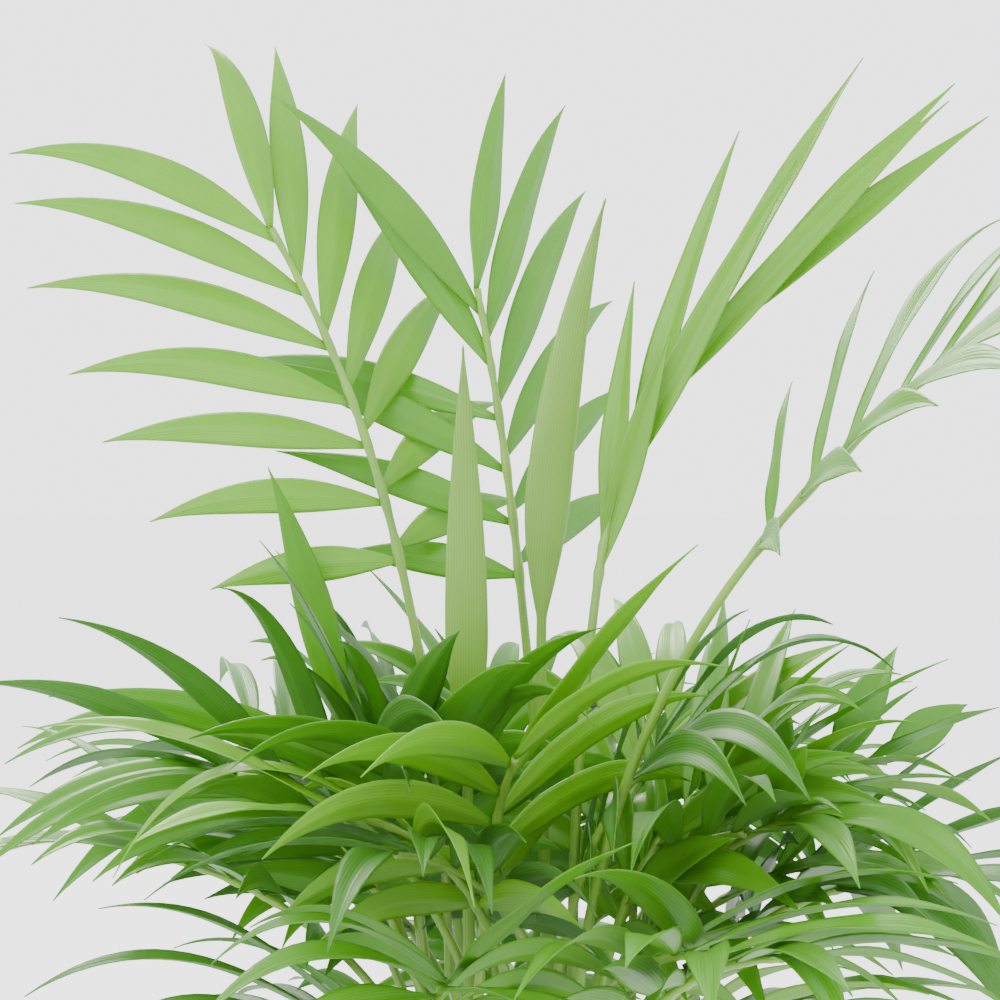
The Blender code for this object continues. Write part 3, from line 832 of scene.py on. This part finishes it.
def rib_surface(frond, rib):
    """The points of a rib's fine tube, ring by ring."""
    length = frond.stalk + frond.rachis
    places = [place for place, hand, habit in leaflet_places(frond)]
    knuckles = [length * rachis_step(frond, place) / RIB_STEPS for place in places]
    points = []
    for step, station in enumerate(rib):
        distance = length * step / RIB_STEPS
        swell = 1.0 + SHEATH_SWELL * math.exp(-distance / SHEATH_LENGTH)
        swell += KNUCKLE * sum(math.exp(-((distance - at) / KNUCKLE_LENGTH) ** 2) for at in knuckles)
        radius = station.size * RIB_FIT * swell
        for side in range(RIB_SEGMENTS):
            angle = math.tau * side / RIB_SEGMENTS
            off = min(angle, math.tau - angle)
            reach = radius * (1.0 - GROOVE * math.exp(-(off / GROOVE_WIDTH) ** 2))
            points.append(station.point + station.over * (reach * math.cos(angle))
                          - station.across * (reach * math.sin(angle)))
    return points


rib_points = []
rib_faces = []
for frond, rib in zip(fronds, ribs):
    if frond not in SPEARS:
        rib_faces += tube_faces(RIB_STEPS + 1, RIB_SEGMENTS, len(rib_points))
        rib_points += rib_surface(frond, rib)
add_piece("ribs", mesh_from("ribs", rib_points, rib_faces), rib_skin, [])

# The leaflets. Each is a thin, tough, slightly folded blade with a raised middle vein and fine parallel
# veins, narrow and thick where it leaves the rib, broad in the middle and drawn out to a long point.
BLADE_COLUMNS = 9
BLADE_THICKNESS = 0.00035
ROOT_SWELL = 0.0011
ROOT_SWELL_SHARE = 0.03
BROAD_HALF = 0.006
FOLD = 0.0018
PLEATS = 3
PLEAT_HEIGHT = 0.00016
RIPPLE = 0.0007
RIPPLE_BEND = 9.0
RIPPLE_SHIFT = 40.0
SLIMMEST = 0.00016

# The leaf's patterns: veins a real 1.1 mm apart, and tones that change over about 33 mm.
VEIN_SPACING = 0.0011
VEIN_SCALE = math.tau / (WAVE_RADIANS * VEIN_SPACING)
VEIN_STRENGTH = 0.28
LEAF_TONES = 30.0


def leaf_material(name, shade, bright, glow, clear):
    """Living leaf: satin skin in two tones with fine parallel veins, and some light that shows through."""
    material, output = new_material(name)
    tree = material.node_tree
    place = add_node(tree, "ShaderNodeTexCoord").outputs["Object"]
    blade = add_node(tree, "ShaderNodeUVMap", uv_map="blade").outputs["UV"]
    veins = add_node(tree, "ShaderNodeTexWave", {"Vector": blade, "Scale": VEIN_SCALE, "Distortion": 0.3,
                                                 "Detail": 1.0}, wave_type="BANDS", bands_direction="X")
    mottle = add_node(tree, "ShaderNodeTexNoise", {"Vector": place, "Scale": LEAF_TONES, "Detail": 4.0})
    tone = add_node(tree, "ShaderNodeMixRGB", {"Fac": mottle.outputs["Fac"], "Color1": linear(shade),
                                               "Color2": linear(bright)})
    vein_share = add_node(tree, "ShaderNodeMath", {0: veins.outputs["Fac"], 1: VEIN_STRENGTH},
                          operation="MULTIPLY")
    color = add_node(tree, "ShaderNodeMixRGB", {"Fac": vein_share.outputs["Value"],
                                                "Color1": tone.outputs["Color"], "Color2": linear(glow)})
    bump = add_node(tree, "ShaderNodeBump", {"Strength": 0.3, "Distance": 0.00015,
                                             "Height": veins.outputs["Fac"]})
    surface = add_node(tree, "ShaderNodeBsdfPrincipled", {"Base Color": color.outputs["Color"],
                                                          "Roughness": 0.4,
                                                          "Normal": bump.outputs["Normal"]})
    through = add_node(tree, "ShaderNodeBsdfTranslucent", {"Color": linear(glow)})
    blend = add_node(tree, "ShaderNodeMixShader", {0: clear, 1: surface.outputs[0], 2: through.outputs[0]})
    tree.links.new(blend.outputs[0], output.inputs["Surface"])
    return material


def lay_pattern(mesh, places):
    """Give a mesh its UV map, in metres across and along the blade, from a place for each point."""
    blade = mesh.uv_layers.new(name="blade")
    corners = np.empty(len(mesh.loops), dtype=np.int32)
    mesh.loops.foreach_get("vertex_index", corners)
    blade.data.foreach_set("uv", np.array(places, dtype=np.float32)[corners].ravel())


def leaflet_surface(stations, spacing):
    """A leaflet's closed blade: its points, its faces, and where each point lies across and along it.

    The upper face comes first and the under face after it, each row by row from root to tip."""
    points = []
    places = []
    for under in (0, 1):
        for row, station in enumerate(stations):
            share = row / LEAFLET_STEPS
            half = max(station.size, SLIMMEST)
            full = min(1.0, half / BROAD_HALF)
            thickness = BLADE_THICKNESS + ROOT_SWELL * math.exp(-share / ROOT_SWELL_SHARE)
            sway = RIPPLE * full * math.sin(RIPPLE_BEND * share + RIPPLE_SHIFT * station.point.x)
            for column in range(BLADE_COLUMNS):
                side = 2.0 * column / (BLADE_COLUMNS - 1) - 1.0
                height = FOLD * full * (0.5 - abs(side)) + sway * side
                height += PLEAT_HEIGHT * full * math.cos(math.tau * PLEATS * side) * (1.0 - side * side)
                height -= under * thickness
                points.append(station.point + station.across * (half * side) + station.over * height)
                places.append((half * side, spacing * row))
    faces = []
    rows = len(stations)
    below = rows * BLADE_COLUMNS
    for row in range(rows - 1):
        for column in range(BLADE_COLUMNS - 1):
            corner = row * BLADE_COLUMNS + column
            above = (corner, corner + 1, corner + BLADE_COLUMNS + 1, corner + BLADE_COLUMNS)
            faces.append(above)
            faces.append(tuple(below + index for index in reversed(above)))
        left = row * BLADE_COLUMNS
        right = left + BLADE_COLUMNS - 1
        faces.append((left, left + BLADE_COLUMNS, below + left + BLADE_COLUMNS, below + left))
        faces.append((right, below + right, below + right + BLADE_COLUMNS, right + BLADE_COLUMNS))
    last = (rows - 1) * BLADE_COLUMNS
    for column in range(BLADE_COLUMNS - 1):
        faces.append((column, below + column, below + column + 1, column + 1))
        faces.append((last + column, last + column + 1, below + last + column + 1, below + last + column))
    return points, faces, places


def leaflets_piece(name, members, material):
    """One piece of all the leaflets of some fronds."""
    points = []
    faces = []
    places = []
    for frond in members:
        for stations in leaflets_of[frond.name]:
            spacing = (stations[1].point - stations[0].point).length
            more_points, more_faces, more_places = leaflet_surface(stations, spacing)
            faces += [tuple(len(points) + index for index in face) for face in more_faces]
            points += more_points
            places += more_places
    mesh = mesh_from(name, points, faces)
    lay_pattern(mesh, places)
    body = bmesh.new()
    body.from_mesh(mesh)
    bmesh.ops.recalc_face_normals(body, faces=body.faces[:])
    body.to_mesh(mesh)
    body.free()
    add_piece(name, mesh, material, [frond.name for frond in members])


# The greens that fronds are dealt out by. Each has the material's name, its darker and its lighter tone, the
# colour of the light through it, and how much of the light that is. The named fronds have theirs by choice.
SHADES = {
    "pale": ("leaf_pale", "#518a10", "#6ba41e", "#7fbe12", 0.36),
    "fresh": ("leaf_fresh", "#3f7d0c", "#569618", "#72b40e", 0.36),
    "mid": ("leaf_mid", "#367410", "#4f8e18", "#72b414", 0.36),
    "deep": ("leaf_deep", "#265a10", "#3b7616", "#5c9c16", 0.32),
}
SHADE_OF = {"frond_tall_left": "pale", "frond_tall_back": "fresh", "frond_opening_right": "pale",
            "frond_front_right": "fresh", "frond_young_right": "mid", "frond_side_left": "fresh"}
SHADE_CYCLE = ("mid", "deep", "fresh", "mid", "fresh", "deep", "pale")

dealt = {shade: [] for shade in SHADES}
for number, frond in enumerate(fronds[len(SPEARS):]):
    dealt[SHADE_OF.get(frond.name, SHADE_CYCLE[number % len(SHADE_CYCLE)])].append(frond)
leaf_greens = {shade: leaf_material(*recipe) for shade, recipe in SHADES.items()}
for shade, members in dealt.items():
    leaflets_piece(f"leaflets_{shade}", members, leaf_greens[shade])

# The spears. Each is a young frond still folded shut, so that its leaflets lie pressed together in one
# long pleated blade on a stalk, pale green with fine lengthwise stripes.
SPEAR_SEGMENTS = 24
SPEAR_PLEATS = 12
SPEAR_PLEAT_DEPTH = 0.22
SPEAR_PLEATS_START = 0.15
SPEAR_POINT = 4.0
SPEAR_ROWS = 3

spear_green = leaf_material("spear_green", "#56861e", "#719e34", "#a2c860", 0.30)


def between(rib, place):
    """A station part of the way between two of a rib's stations."""
    low = min(int(place), len(rib) - 2)
    share = place - low
    first, last = rib[low], rib[low + 1]
    return Station(first.point.lerp(last.point, share), first.along.lerp(last.along, share),
                   first.across.lerp(last.across, share), first.over.lerp(last.over, share),
                   mix(first.size, last.size, share))


for frond, rib in zip(fronds[:len(SPEARS)], ribs):
    points = []
    places = []
    rows = SPEAR_ROWS * RIB_STEPS
    collar = collar_step(frond)
    for row in range(rows + 1):
        station = between(rib, row / SPEAR_ROWS)
        share = max(0.0, (row / SPEAR_ROWS - collar) / (RIB_STEPS - collar))
        across = station.size
        pleated = 0.0
        if share > 0.0:
            across = max(station.size * (1.0 - share) + SLIMMEST, frond.width / 2 * spear_width(share))
            across = min(across, frond.width / 2 * (1.0 - share) * SPEAR_POINT + SLIMMEST)
            pleated = min(1.0, share / SPEAR_PLEATS_START)
        over = max(min(station.size, across), across * SPEAR_DEPTH)
        for side in range(SPEAR_SEGMENTS):
            angle = math.tau * side / SPEAR_SEGMENTS
            fold = 1.0 + pleated * SPEAR_PLEAT_DEPTH * math.cos(SPEAR_PLEATS * angle)
            points.append(station.point + station.over * (over * fold * math.cos(angle))
                          - station.across * (across * math.sin(angle)))
            places.append((across * math.sin(angle), (frond.stalk + frond.rachis) * row / rows))
    mesh = mesh_from(f"{frond.name}_blade", points, tube_faces(rows + 1, SPEAR_SEGMENTS))
    lay_pattern(mesh, places)
    add_piece(f"{frond.name}_blade", mesh, spear_green, [frond.name])
